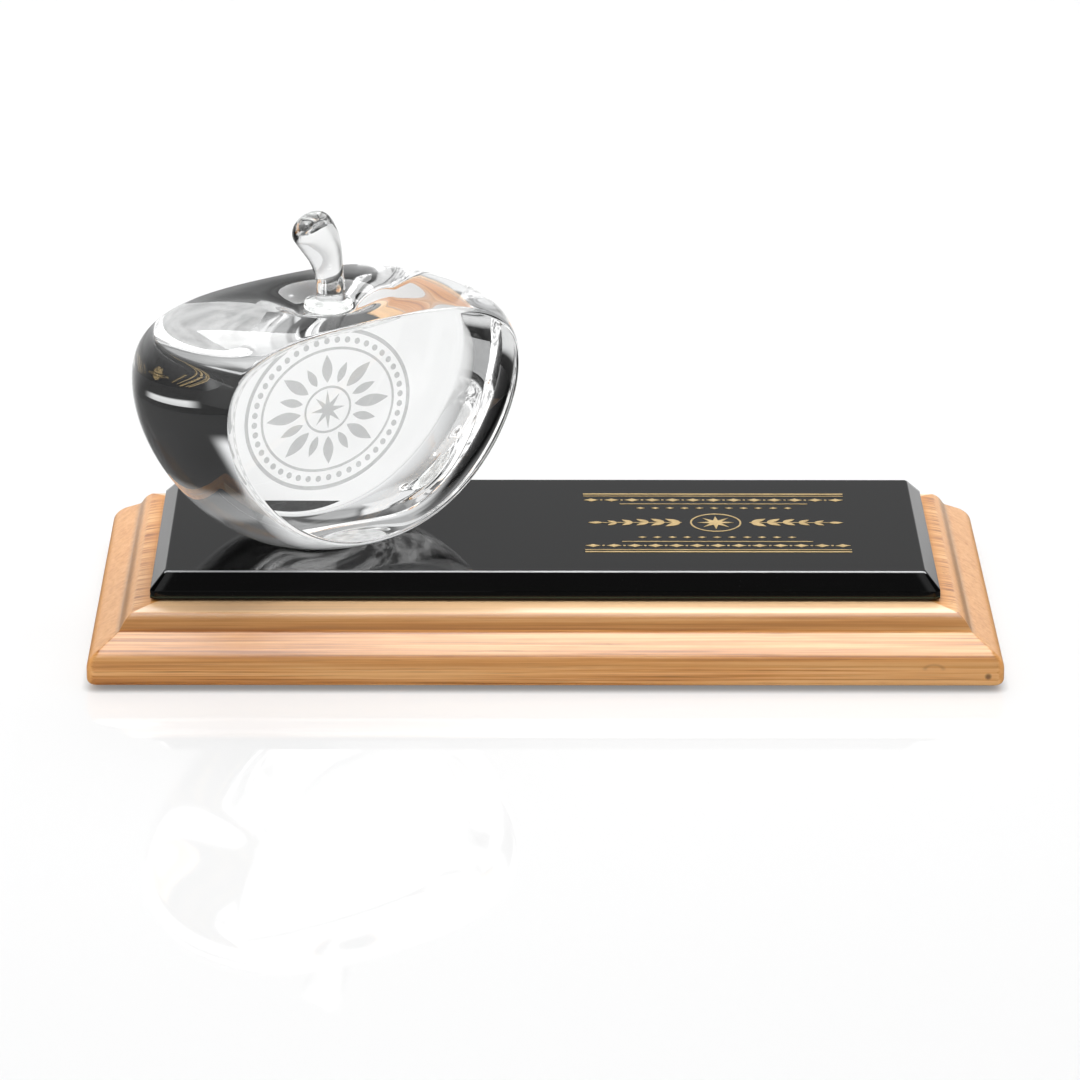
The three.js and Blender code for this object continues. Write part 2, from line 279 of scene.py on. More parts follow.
STEM_RADIUS = 4.15 * MM
HEAD_RADIUS = 6.35 * MM
STEM_HEIGHT = 21.9 * MM
STEM_LEAN = 6.2 * MM
STEM_LOWER_PULL, STEM_UPPER_PULL = 9 * MM, 7 * MM
HEAD_TILT = math.radians(36)
HEAD_RIM = 3.2 * MM
HEAD_RINGS = np.array([0.985, 0.9, 0.6, 0.3])
SWELL_START = 0.2
STEM_WAVE = 0.012
STEM_FLARE = 0.35 * MM
FLARE_SHARE = 0.035  # of the stem's length
STEM_POINTS = 90


def stem_line(count):
    """Centre line as (x, z): straight up from the collar, then over to the side."""
    head = np.array([-STEM_LEAN, STEM_HEIGHT])
    pull = STEM_UPPER_PULL * np.array([math.sin(HEAD_TILT), -math.cos(HEAD_TILT)])
    return cubic((0, 0), (0, STEM_LOWER_PULL), head + pull, head, count)


def off_centre(node):
    """How far a round piece's middle lies from the apple's axis along the faces: it was bonded by hand."""
    low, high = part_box(node)
    across = np.array([(low.x + high.x) / 2, (low.y + high.y) / 2]) - apple_origin[:2]
    return float(across @ (math.cos(APPLE_TURN), math.sin(APPLE_TURN)))


collar_shift = off_centre("stem_collar")
stem_shift = off_centre("stem_adhesive")
stem_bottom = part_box("stem")[0].z - apple_origin[2]


def stem_shape():
    """Circles square to the centre line. Their radius swells towards the head, whose rim is rounded.

    Along the line the radius also waves a little, as in drawn glass, and flares at the adhesive.
    """
    line = stem_line(STEM_POINTS)
    t = np.linspace(0, 1, STEM_POINTS)
    along = np.gradient(line, axis=0)
    along /= np.linalg.norm(along, axis=1)[:, None]
    rise = np.clip((t - SWELL_START) / (1 - SWELL_START), 0, 1)
    radius = STEM_RADIUS + (HEAD_RADIUS - STEM_RADIUS) * rise**2 * (3 - 2 * rise)
    radius = radius * (1 + STEM_WAVE * np.sin(9 * t + 1.0)) + STEM_FLARE * np.exp(-t / FLARE_SHARE)
    turn = np.linspace(0, math.pi / 2, 17)[1:]
    head = line[-1] + HEAD_RIM * np.sin(turn)[:, None] * along[-1]
    line = np.vstack([line[:1], line[:1], line, head, np.repeat(head[-1:], len(HEAD_RINGS), 0)])
    along = np.vstack([along[:1], along[:1], along, np.repeat(along[-1:], len(turn) + len(HEAD_RINGS), 0)])
    rim = radius[-1] - HEAD_RIM * (1 - np.cos(turn))
    radius = np.concatenate([radius[0] * np.array([0.5, 0.96]), radius, rim, rim[-1] * HEAD_RINGS])
    angle = np.linspace(0, 2 * math.pi, 72, endpoint=False)[None, :]
    side = radius[:, None] * np.cos(angle)
    sections = np.stack([
        line[:, 0, None] + side * along[:, 1, None],
        radius[:, None] * np.sin(angle),
        line[:, 1, None] - side * along[:, 0, None] + stem_bottom,
    ], -1)
    points, faces = shell(sections)
    return on_apple(points + (stem_shift, 0, 0)), faces


def rounded_rectangle(half_x, half_y, radius, corner_steps, side_steps):
    """Rings (rows, columns, 2), counter-clockwise: four arcs of each row's radius, and side points."""
    angle = (np.arange(4)[:, None] + np.linspace(0, 1, corner_steps)[None, :]) * math.pi / 2
    side_x, side_y = np.array([1, -1, -1, 1])[:, None], np.array([1, 1, -1, -1])[:, None]
    half_x, half_y, radius = (np.asarray(size, float).reshape(-1, 1, 1) for size in (half_x, half_y, radius))
    x = side_x * (half_x - radius) + radius * np.cos(angle)
    y = side_y * (half_y - radius) + radius * np.sin(angle)
    corners = np.stack([x, y], -1)
    share = np.linspace(0, 1, side_steps + 2)[1:-1][None, None, :, None]
    sides = corners[:, :, -1:] * (1 - share) + np.roll(corners, -1, 1)[:, :, :1] * share
    return np.concatenate([corners, sides], 2).reshape(len(corners), -1, 2)


def raised(rings, height):
    """A shell through flat rings (rows, columns, 2), each at its own height."""
    z = np.broadcast_to(height[:, None, None], rings.shape[:2] + (1,))
    return shell(np.concatenate([rings, z], -1))


BASE_CORNER_RADIUS = 3 * MM
MITRE_SHARPENING = 4.2 * MM


def base_shape():
    """The edge moulding, as inset and height in millimetres, carried round the board.

    From below: a rounded foot, the side, a quarter round, a slope, a cove, a narrow crown and a gentle rise
    to the flat under the plate. The upright corners are round at the foot and sharpen to a mitre.
    """
    low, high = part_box("wooden_base")
    top = (high.z - low.z) / MM
    foot, side_foot, side_top, slope_foot, slope_top = (2, 0), (0, 2), (0, 4.4), (3.7, 10), (8.6, 13.2)
    cove_foot, cove_top, crown, flat_edge = (9.5, 14.2), (12.3, top - 1.15), (13.1, top - 0.72), (19.2, top)
    moulding = MM * path(
        np.array([(2.4, 0), foot]),
        quadratic(foot, (0, 0), side_foot, 10),
        np.linspace(side_foot, side_top, 6),
        cubic(side_top, (0, 7), (1.1, 8.3), slope_foot, 26),
        np.linspace(slope_foot, slope_top, 10),
        quadratic(slope_top, (9.05, 13.5), cove_foot, 9),
        quadratic(cove_foot, (10.6, 16.35), cove_top, 14),
        quadratic(cove_top, (12.65, top - 0.85), crown, 8),
        quadratic(crown, (16.6, top), flat_edge, 16),
        np.array([flat_edge, (19.6, top)]),
    )
    inset, height = moulding[:, 0], moulding[:, 1]
    radius = np.maximum(0.3 * MM, BASE_CORNER_RADIUS * (1 - inset / MITRE_SHARPENING))
    return raised(rounded_rectangle(high.x - inset, high.y - inset, radius, 10, 24), low.z + height)


BEVEL_WIDTH = 4.3 * MM
BEVEL_DROP = 4.7 * MM
PLATE_CORNER_CUT = 1.3 * MM
PLATE_FOOT_ROUND = 0.12 * MM
ARRIS = 0.4 * MM


def plate_shape():
    """A polished edge, a bevel and a top, with rounded arrises. The upright corners are cut at 45 degrees.

    A ring close beside each rounding keeps the flats flat under smooth shading.
    """
    low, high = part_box("glass_plate")
    thickness = high.z - low.z
    edge = thickness - BEVEL_DROP
    foot, edge_foot, edge_top = (PLATE_FOOT_ROUND, 0), (0, PLATE_FOOT_ROUND), (0, edge - 0.15 * MM)
    bevel_foot = (0.1 * MM, edge + 0.11 * MM)
    bevel_top = (BEVEL_WIDTH - 0.5 * ARRIS, thickness - 0.55 * ARRIS)
    top_edge = (BEVEL_WIDTH + 0.6 * ARRIS, thickness)
    moulding = path(
        np.array([(0.3 * MM, 0), foot]),
        quadratic(foot, (0, 0), edge_foot, 4),
        np.array([edge_foot, (0, 0.2 * MM), (0, edge - 0.25 * MM), edge_top]),
        quadratic(edge_top, (0, edge), bevel_foot, 5),
        np.array([bevel_foot, (0.16 * MM, edge + 0.17 * MM), bevel_top]),
        quadratic(bevel_top, (BEVEL_WIDTH, thickness), top_edge, 6),
        np.array([top_edge, (BEVEL_WIDTH + ARRIS, thickness)]),
    )
    inset, height = moulding[:, 0], moulding[:, 1]
    cut = PLATE_CORNER_CUT * (1 - inset / (2 * BEVEL_WIDTH))
    across, along = high.x - inset, high.y - inset
    quarter = np.stack([np.stack([across, along - cut], -1), np.stack([across - cut, along], -1)], 1)
    flip = (1, 1), (-1, 1), (-1, -1), (1, -1)
    corners = np.concatenate([quarter[:, :: sx * sy] * (sx, sy) for sx, sy in flip], 1)
    share = np.array([0, 0.02, 0.5, 0.98])[None, None, :, None]
    rings = corners[:, :, None] * (1 - share) + np.roll(corners, -1, 1)[:, :, None] * share
    return raised(rings.reshape(len(inset), -1, 2), low.z + height)


# Flat ornament: outlines in a plane, given a small thickness with an eased upper edge

def stacked(levels):
    """Outlines (columns, 2) with their heights, as sections (levels, columns, 3)."""
    return np.stack([np.column_stack([outline, np.full(len(outline), height)]) for outline, height in levels])


def slabs(outlines, thickness, ease):
    """Each outline (columns, 2) as a slab from 0 to thickness whose top is drawn in by ease."""
    shapes, shoulder = [], thickness - ease / 2
    for outline in outlines:
        middle = outline.mean(0)
        reach = np.linalg.norm(outline - middle, axis=1)[:, None]
        inner = middle + (outline - middle) * np.maximum(0.2, 1 - ease / np.maximum(reach, 1e-9))
        core = middle + (inner - middle) * 0.9
        levels = [(inner, 0), (outline, 0), (outline, shoulder), (inner, thickness), (core, thickness)]
        shapes.append(shell(stacked(levels)))
    return joined(shapes)


def bands(rings, thickness):
    """Each (outer, inner) pair of outlines as a flat ring from 0 to thickness, with eased upper edges."""
    shapes = []
    for outer, inner in rings:
        edge, shoulder = 0.12 * (inner - outer), thickness * 0.6
        levels = [
            (inner, 0), (outer, 0), (outer, shoulder), (outer + edge, thickness), (inner - edge, thickness),
            (inner, shoulder),
        ]
        shapes.append(shell(stacked(levels), wrap_rows=True))
    return joined(shapes)


def ellipse(half_x, half_y, columns=96):
    """Points of an ellipse about the origin."""
    angle = np.linspace(0, 2 * math.pi, columns, endpoint=False)
    return np.stack([half_x * np.cos(angle), half_y * np.sin(angle)], -1)


def leaf(length, width, columns=20, taper=0.8):
    """A leaf from the origin along +X: its half width follows a sine, and its tip is drawn out."""
    t = np.linspace(0, 1, columns // 2, endpoint=False)
    along, side = np.concatenate([t, 1 - t]), np.repeat([1, -1], columns // 2)
    return np.stack([length * along, side * width / 2 * np.sin(math.pi * along**taper)], -1)


def lozenge(length, width, columns=16):
    """A diamond with slightly hollow sides: the curve |x / a|^p + |y / b|^p = 1 with p = 0.85."""
    angle, power = np.linspace(0, 2 * math.pi, columns, endpoint=False), 0.85
    c, s = np.cos(angle), np.sin(angle)
    reach = (np.abs(c) ** power + np.abs(s) ** power) ** (-1 / power)
    return np.stack([length / 2 * reach * c, width / 2 * reach * s], -1)


def star(outer, inner, points):
    """A star about the origin, whose reach swings between outer and inner."""
    angle = np.linspace(0, 2 * math.pi, 2 * points, endpoint=False) + math.pi / 2
    reach = np.where(np.arange(2 * points) % 2 == 0, outer, inner)
    return np.stack([reach * np.cos(angle), reach * np.sin(angle)], -1)


def placed(outline, x, y, turn=0.0):
    """An outline turned and moved."""
    c, s = math.cos(turn), math.sin(turn)
    return outline @ np.array([[c, s], [-s, c]]) + (x, y)


def mirrored(outlines):
    """Outlines, and their mirror images on the left, which run the same way round."""
    return outlines + [(outline * (-1, 1))[::-1] for outline in outlines]


GOLD_THICKNESS = 0.1 * MM
GOLD_EASE = 0.03 * MM
FINE_EASE = 0.02 * MM
STAR_RADIUS, STAR_WAIST, STAR_POINTS = 5.4 * MM, 1.9 * MM, 8
RING_OUTER, RING_INNER = 7.6 * MM, 7.05 * MM
LEAF_TILT = 0.62
WIDE_ROW_INSET, WIDE_ROW_STEP = 5.6 * MM, 6.1 * MM
SHORT_ROW_INSET, SHORT_ROW_STEP = 12.6 * MM, 4.4 * MM


def gold_block():
    """The block that the gold rules bound: its middle, on the plate, and its half width and half depth."""
    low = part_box("gold_rule_front")[0]
    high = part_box("gold_rule_back")[1]
    middle = (low.x + high.x) / 2, (low.y + high.y) / 2, low.z
    return middle, (high.x - low.x) / 2, (high.y - low.y) / 2


def on_plate(shape):
    """A flat ornament moved to the middle of the gold block, on the plate."""
    points, faces = shape
    return points + gold_block()[0], faces


def gold_star_shape():
    """An eight-pointed star with a fine ring round it."""
    ring = ellipse(RING_OUTER, RING_OUTER), ellipse(RING_INNER, RING_INNER)
    return joined([
        slabs([star(STAR_RADIUS, STAR_WAIST, STAR_POINTS)], GOLD_THICKNESS, GOLD_EASE),
        bands([ring], GOLD_THICKNESS),
    ])


def gold_sprig_shape():
    """Two mirrored sprigs: pairs of leaves that grow smaller along a stalk, and one at its tip."""
    leaves = []
    for pair in range(5):
        along, rise = (10.5 + 4.7 * pair) * MM, 0.35 * MM * math.sin(pair)
        size = 1 - 0.09 * pair
        for tilt in (LEAF_TILT, -LEAF_TILT):
            leaves.append(placed(leaf(5.4 * size * MM, 2.2 * size * MM), along, rise, tilt))
    leaves.append(placed(leaf(4.2 * MM, 1.7 * MM), 33.6 * MM, 0.0))
    stalk = np.array([(10.0, -0.2), (33.8, -0.16), (33.8, 0.16), (10.0, 0.2)]) * MM
    return joined([
        slabs(mirrored(leaves), GOLD_THICKNESS, GOLD_EASE),
        slabs(mirrored([stalk]), GOLD_THICKNESS * 0.9, FINE_EASE),
    ])


def gold_lozenge_shape():
    """Behind and before the star, a wide row of lozenges with dots between, and a short row of small ones."""
    half_y = gold_block()[2]
    large, small = lozenge(4.6 * MM, 2.5 * MM), lozenge(2.6 * MM, 1.5 * MM)
    dot = ellipse(0.42 * MM, 0.42 * MM, 16)
    outlines = []
    for side in (1, -1):
        wide_row, short_row = side * (half_y - WIDE_ROW_INSET), side * (half_y - SHORT_ROW_INSET)
        outlines += [placed(large, WIDE_ROW_STEP * k, wide_row) for k in range(-6, 7)]
        outlines += [placed(dot, WIDE_ROW_STEP * (k + 0.5), wide_row) for k in range(-6, 6)]
        outlines += [placed(small, SHORT_ROW_STEP * k, short_row) for k in range(-5, 6)]
    return slabs(outlines, GOLD_THICKNESS, GOLD_EASE)


def gold_hairline_shape():
    """Fine lines inside the two rules, and a short pair nearer the star."""
    _, half_x, half_y = gold_block()
    lines = []
    for side in (1, -1):
        for inset, reach in ((2.2 * MM, 1.0), (9.0 * MM, 0.72)):
            x, y, w = half_x * reach, side * (half_y - inset), 0.22 * MM
            lines.append(np.array([(-x, y - w), (x, y - w), (x, y + w), (-x, y + w)]))
    return slabs(lines, GOLD_THICKNESS, FINE_EASE)


# The etched medallion, on the apple's back face and seen through the glass; its insets are from its rim
MEDALLION_RELIEF = 0.06 * MM
MEDALLION_GAP = 0.02 * MM
MEDALLION_HALF_X = 29 * MM
MEDALLION_HALF_Z = 24.5 * MM
MEDALLION_X = 3.0 * MM
MEDALLION_HEIGHT = 35.5 * MM
BAND_INSETS = (0, 1.2 * MM), (5.6 * MM, 6.4 * MM)
BEADS, BEAD_RADIUS, BEAD_INSET = 44, 0.95 * MM, 3.4 * MM
PETALS, PETAL_INSET, SHORT_PETAL = 16, 7.6 * MM, 0.72
PETAL_START = 9.4 * MM, 8.3 * MM
HUB_OUTER, HUB_INNER = (8.2 * MM, 7.2 * MM), (7.5 * MM, 6.5 * MM)
HUB_STAR_RADIUS, HUB_STAR_WAIST = 5.9 * MM, 2.0 * MM
LONG_PETAL_WIDTH, SHORT_PETAL_WIDTH = 3.6 * MM, 2.6 * MM


def medallion_shape():
    """Oval bands, a row of beads, a ring of petals and a star, as thin relief on the back face."""
    def rim(inset):
        return MEDALLION_HALF_X - inset, MEDALLION_HALF_Z - inset

    def around(half_x, half_z, turn):
        return np.array([half_x * math.cos(turn), half_z * math.sin(turn)])

    ovals = [(ellipse(*rim(outer), 160), ellipse(*rim(inner), 160)) for outer, inner in BAND_INSETS]
    ovals.append((ellipse(*HUB_OUTER), ellipse(*HUB_INNER)))
    bead = ellipse(BEAD_RADIUS, BEAD_RADIUS, 18)
    turns = np.linspace(0, 2 * math.pi, BEADS, endpoint=False)
    beads = [placed(bead, *around(*rim(BEAD_INSET), turn)) for turn in turns]
    petals = []
    for k in range(PETALS):
        turn, long = 2 * math.pi * k / PETALS, k % 2 == 0
        start, end = around(*PETAL_START, turn), around(*rim(PETAL_INSET), turn)
        if not long:
            end = start + (end - start) * SHORT_PETAL
        outline = leaf(np.linalg.norm(end - start), LONG_PETAL_WIDTH if long else SHORT_PETAL_WIDTH, 24, 0.9)
        petals.append(placed(outline, *start, math.atan2(*(end - start)[::-1])))
    middle = [star(HUB_STAR_RADIUS, HUB_STAR_WAIST, STAR_POINTS)]
    fine = [slabs(outlines, MEDALLION_RELIEF, FINE_EASE) for outlines in (beads, petals, middle)]
    points, faces = joined([bands(ovals, MEDALLION_RELIEF), *fine])
    depth = FACE_THICKNESS / 2 + MEDALLION_GAP
    local = np.stack([MEDALLION_X + points[:, 0], depth + points[:, 2], MEDALLION_HEIGHT + points[:, 1]], -1)
    return on_apple(local), faces


# Materials: patterns read Object coordinates in millimetres
LAST_REFLECTION = 3.5  # the renderer follows four inside a glass, and a ray past them would end black


class Value:
    """A number from a shader node. Python's operators on it add Math nodes."""

    def __init__(self, finish, socket):
        self.finish, self.socket = finish, socket

    def __add__(self, other):
        return self.finish.maths("ADD", self, other)

    def __radd__(self, other):
        return self.finish.maths("ADD", other, self)

    def __sub__(self, other):
        return self.finish.maths("SUBTRACT", self, other)

    def __rsub__(self, other):
        return self.finish.maths("SUBTRACT", other, self)

    def __mul__(self, other):
        return self.finish.maths("MULTIPLY", self, other)

    def __rmul__(self, other):
        return self.finish.maths("MULTIPLY", other, self)

    def __abs__(self):
        return self.finish.maths("ABSOLUTE", self)


class Finish:
    """A node tree under construction: of a material, or of the world."""

    def __init__(self, owner):
        owner.use_nodes = True
        self.owner, self.tree = owner, owner.node_tree
        self.tree.nodes.clear()

    def feed(self, socket, value):
        """A link if the value comes from a node, or else the socket's own number, vector or colour."""
        if isinstance(value, Value):
            self.tree.links.new(value.socket, socket)
        elif socket.type == "RGBA" and len(value) == 3:
            socket.default_value = (*value, 1.0)
        else:
            socket.default_value = value

    def node(self, kind, settings=None, inputs=None, output=0):
        """A node, by its type less ShaderNode, with settings and sockets set. One output comes back."""
        node = self.tree.nodes.new("ShaderNode" + kind)
        for key, value in (settings or {}).items():
            if key == "stops":
                ramp = node.color_ramp
                while len(ramp.elements) < len(value):
                    ramp.elements.new(1.0)
                for element, (place, colour) in zip(ramp.elements, value):
                    element.position = place
                    element.color = (*colour, 1.0)
            else:
                setattr(node, key, value)
        for key, value in (inputs or {}).items():
            self.feed(node.inputs[key], value)
        return Value(self, node.outputs[output])

    def maths(self, operation, *terms, clamp=False):
        """A Math node on values and numbers."""
        return self.node("Math", {"operation": operation, "use_clamp": clamp}, dict(enumerate(terms)))

    def place(self, scale=(1, 1, 1), shift=(0, 0, 0)):
        """Object coordinates in millimetres, each direction scaled and then shifted."""
        place = self.node("TexCoord", output="Object")
        return self.node("Mapping", {}, {
            "Vector": place, "Scale": tuple(1000 * s for s in scale), "Location": shift,
        })

    def point(self, x, y, z):
        """A vector of three numbers."""
        return self.node("CombineXYZ", {}, {0: x, 1: y, 2: z})

    def noise(self, vector, detail=2.0, roughness=0.5, distortion=0.0):
        """Cloudy noise from 0 to 1, whose lumps are one unit of the vector wide."""
        return self.node("TexNoise", {}, {
            "Vector": vector, "Scale": 1.0, "Detail": detail,
            "Roughness": roughness, "Distortion": distortion,
        })

    def between(self, value, low, high):
        """0 below low, 1 above high and smooth between."""
        return self.node("MapRange", {"interpolation_type": "SMOOTHSTEP"}, {
            "Value": value, "From Min": low, "From Max": high,
        })

    def window(self, value, low, high, soft):
        """1 between low and high, with edges this soft."""
        over_low = self.between(value, low - soft, low + soft)
        return over_low * (1 - self.between(value, high - soft, high + soft))

    def measure(self, operation, first, second):
        """A number from two vectors."""
        return self.node("VectorMath", {"operation": operation}, {0: first, 1: second}, output="Value")

    def ramp(self, value, stops):
        """A colour by a value, from stops of (value, colour)."""
        return self.node("ValToRGB", {"stops": stops}, {"Fac": value})

    def blend(self, factor, first, second):
        """Two colours mixed: sockets 6 and 7 of the node are its colours, and output 2 is the mixed one."""
        return self.node("Mix", {"data_type": "RGBA"}, {0: factor, 6: first, 7: second}, output=2)

    def bump(self, height, strength, distance):
        """A normal from a height; distance is in metres."""
        return self.node("Bump", {}, {"Height": height, "Strength": strength, "Distance": distance})

    def axes(self, vector):
        """The three numbers of a vector."""
        apart = self.tree.nodes.new("ShaderNodeSeparateXYZ")
        self.feed(apart.inputs[0], vector)
        return [Value(self, number) for number in apart.outputs]

    def mixed(self, factor, first, second):
        """From one shader at 0 to another at 1."""
        return self.node("MixShader", {}, {0: factor, 1: first, 2: second})

    def surface(self, shader, kind="ShaderNodeOutputMaterial"):
        """The shader joined to the output."""
        output = self.tree.nodes.new(kind)
        self.feed(output.inputs["Surface"], shader)

    def last_light(self, level):
        """The studio's mean light, in streaks, for a ray still in the glass after its last reflection."""
        rays = self.tree.nodes.new("ShaderNodeLightPath").outputs
        deep = self.between(Value(self, rays["Glossy Depth"]), LAST_REFLECTION - 0.3, LAST_REFLECTION + 0.3)
        streaks = self.noise(self.place((0.05, 0.05, 0.11)), detail=2.0, distortion=1.6)
        self.owner.cycles.emission_sampling = "NONE"
        return self.blend(deep * (0.15 + self.between(streaks, 0.4, 0.58) * 0.85), (0, 0, 0), (level,) * 3)

    def shader(self, **sockets):
        """The surface shader with its sockets set, each by its name with _ for a space."""
        inputs = {key.replace("_", " "): value for key, value in sockets.items()}
        return self.node("BsdfPrincipled", {}, inputs)

    def principled(self, **sockets):
        """The same, joined to the output."""
        self.surface(self.shader(**sockets))
        return self.owner


def new_finish(name):
    """A material under construction."""
    return Finish(bpy.data.materials.new(name))


WOOD_TONES = [
    (0.0, (0.88, 0.48, 0.185)), (0.35, (0.77, 0.36, 0.105)),
    (0.7, (0.60, 0.235, 0.05)), (1.0, (0.38, 0.125, 0.022)),
]
PORE_BROWN = (0.26, 0.095, 0.02)
PAINTED_SHEEN_PALE = (0.97, 0.70, 0.43)
FLAT_SHADE_BROWN = (0.62, 0.25, 0.06)
VALLEY_DIRT_AND_SHADE = (0.30, 0.19, 0.12)
PAINTED_SHADE_BROWN = (0.42, 0.20, 0.065)
KNOT_BROWN = (0.10, 0.04, 0.015)
CURL_BROWN = (0.22, 0.09, 0.03)
KNOT_PLACE = (127.0, -62.8, 4.8)
CURL_PLACE = (55.7, -62.8, 7.0)  # with X halved, as the curl is twice as long as it is high


def honey_wood():
    """A straight-grained board: fine fibres and long streaks along X, mottled end grain and varnish."""
    f = new_finish("honey_wood")
    low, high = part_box("wooden_base")
    end_x, side_y, bottom, top = high.x * 1000, high.y * 1000, low.z * 1000, high.z * 1000
    x, y, z = f.axes(f.place())
    normal = f.axes(f.node("NewGeometry", output="Normal"))
    end = f.between(abs(normal[0]), 0.25, 0.7)
    flat = f.between(normal[2], 0.982, 0.998)

    # Grain. Near the top it no longer changes with height, which on a shallow slope would show as broad waves
    layer = f.maths("MINIMUM", z, top - 1.3)
    sway = f.noise(f.place((0.004, 0.02, 0.02)), detail=2.0)
    lines = f.maths("SINE", (layer * 1.1 + y * 0.5 + (sway - 0.5) * 6.0) * 3.1)
    fibre = f.noise(f.point(x * 0.010, y * 0.7, layer * 1.35), detail=4.0, roughness=0.68)
    streak = f.noise(f.point(x * 0.005 + 3, y * 0.25 + 7, layer * 0.34 + 1), detail=3.0)
    pore = f.between(f.noise(f.place((0.035, 0.9, 2.4), (9, 2, 5)), detail=2.0, roughness=0.6), 0.60, 0.74)
    speckle = f.noise(f.place((0.5, 0.7, 0.7)), detail=4.0, roughness=0.68)
    tone = 0.45 + ((fibre - 0.5) * 3.3 + (streak - 0.5) * 2.2 + lines * 0.03) * (1 - flat * 0.45)
    tone = tone * (1 - end) + end * (0.34 + (speckle - 0.5) * 0.95)
    colour = f.ramp(f.maths("ADD", tone, 0.0, clamp=True), WOOD_TONES)
    colour = f.blend(pore * (1 - end) * 0.4, colour, PORE_BROWN)

    # Painted sheen on the long crown; painted shade on the flat, cove and quarter round; dirt and painted
    # shade in end valleys
    inset = end_x - abs(x)
    long_side = f.between(inset - side_y + abs(y), 0.0, 0.6)
    # Painted sheen: the crown along the long sides is blended pale where the varnish would shine
    painted_crown_sheen = f.window(z, top - 0.85, top + 1.0, 0.08) * long_side
    colour = f.blend(painted_crown_sheen * 0.65, colour, PAINTED_SHEEN_PALE)
    # Painted shade: the flat top is blended darker, against the light that falls on it from above
    colour = f.blend(flat * (1 - painted_crown_sheen) * 0.5, colour, FLAT_SHADE_BROWN)
    # Dirt and painted shade: the valleys at the ends are blended toward a grey brown
    valley_dirt_and_shade = f.between(inset, 7.2, 9.2) * (1 - f.between(inset, 9.8, 11.6)) * end
    colour = f.blend(valley_dirt_and_shade * (0.35 + speckle * 0.5), colour, VALLEY_DIRT_AND_SHADE)
    height = z - bottom
    # Painted shade: bands on the cove and the quarter round of the long sides are blended darker
    cove, quarter_round = f.window(height, 14.0, 17.8, 0.3) * 0.62, f.window(height, 5.8, 9.0, 0.9) * 0.45
    hollow = f.maths("MAXIMUM", cove, quarter_round)
    colour = f.blend(hollow * (1 - end), colour, PAINTED_SHADE_BROWN)

    # A pin knot, and the upper half of a small curl in the grain
    knot = 1 - f.between(f.measure("DISTANCE", f.place(), KNOT_PLACE), 0.35, 1.3)
    colour = f.blend(knot * 0.75, colour, KNOT_BROWN)
    ring = f.measure("DISTANCE", f.place((0.5, 1, 1)), CURL_PLACE)
    curl = f.between(ring, 0.8, 1.3) * (1 - f.between(ring, 1.3, 1.9)) * f.between(z, 6.2, 7.6)
    colour = f.blend(curl * 0.35, colour, CURL_BROWN)
    return f.principled(
        Base_Color=colour,
        Roughness=0.36 + pore * 0.15 + (fibre - 0.5) * 0.1,
        Normal=f.bump(fibre * 0.4 - pore * 0.6, 0.3, 0.00005),
        Specular_IOR_Level=0.4,
        IOR=1.5,
        Coat_Weight=0.95 - f.maths("MAXIMUM", flat * 0.8, end * 0.6),
        Coat_Roughness=0.24,
        Coat_IOR=1.5,
    )


GLASS_BLACK = (0.002, 0.002, 0.002)
EDGE_GREEN = (0.016, 0.038, 0.026)
DUST_GREY = (0.06, 0.06, 0.062)
ARRIS_HIGHLIGHT_WHITE = (0.72, 0.73, 0.74)


def black_glass():
    """Black glass: a faint film on the polish, a front arris ground and painted pale as a highlight, green
    light low in the edge.
    """
    f = new_finish("black_glass")
    low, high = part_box("glass_plate")
    arris_x, arris_y, top = (high.x - BEVEL_WIDTH) * 1000, (high.y - BEVEL_WIDTH) * 1000, high.z * 1000
    x, y, z = f.axes(f.place())
    line = 1 - f.between(abs(z - (low.z * 1000 + 0.75)), 0.08, 0.3)
    # Painted highlight: below the top, a ground line along the front arris alone is blended pale
    along_front = 1 - f.between(abs(-1 * y - arris_y), 0.18, 0.34)
    ground = along_front * (1 - f.between(abs(x), arris_x, arris_x + 0.4)) * f.between(z, top - 1, top - 0.6)
    film = f.noise(f.place((0.03, 0.045, 0.05)), detail=4.0, roughness=0.6)
    dust = f.between(f.noise(f.place((1.6, 1.6, 1.6)), detail=1.0), 0.76, 0.82)
    colour = f.blend(line, GLASS_BLACK, EDGE_GREEN)
    colour = f.blend(dust * 0.2, colour, DUST_GREY)
    colour = f.blend(ground * (0.6 + film * 0.4), colour, ARRIS_HIGHLIGHT_WHITE)
    return f.principled(
        Base_Color=colour,
        Roughness=0.015 + f.between(film, 0.45, 0.8) * 0.04 + dust * 0.1 + ground * 0.4,
        Normal=f.bump(film, 0.02, 0.00002),
        IOR=1.4,
    )


GOLD_TONES = [(0.25, (0.30, 0.205, 0.085)), (0.5, (0.47, 0.335, 0.145)), (0.8, (0.66, 0.50, 0.25))]


def gold_fill():
    """Gold paint in etched lines: satin, a little grainy, and thinner in places."""
    f = new_finish("gold_fill")
    grain = f.noise(f.place((2.4, 2.4, 2.4)), detail=4.0, roughness=0.65)
    patch = f.noise(f.place((0.18, 0.25, 0.2)), detail=2.0)
    return f.principled(
        Base_Color=f.ramp(f.maths("ADD", grain * 0.6 + patch * 0.4, 0.0, clamp=True), GOLD_TONES),
        Metallic=0.45 + grain * 0.3,
        Roughness=0.34 + grain * 0.22,
        Normal=f.bump(grain, 0.25, 0.00003),
    )


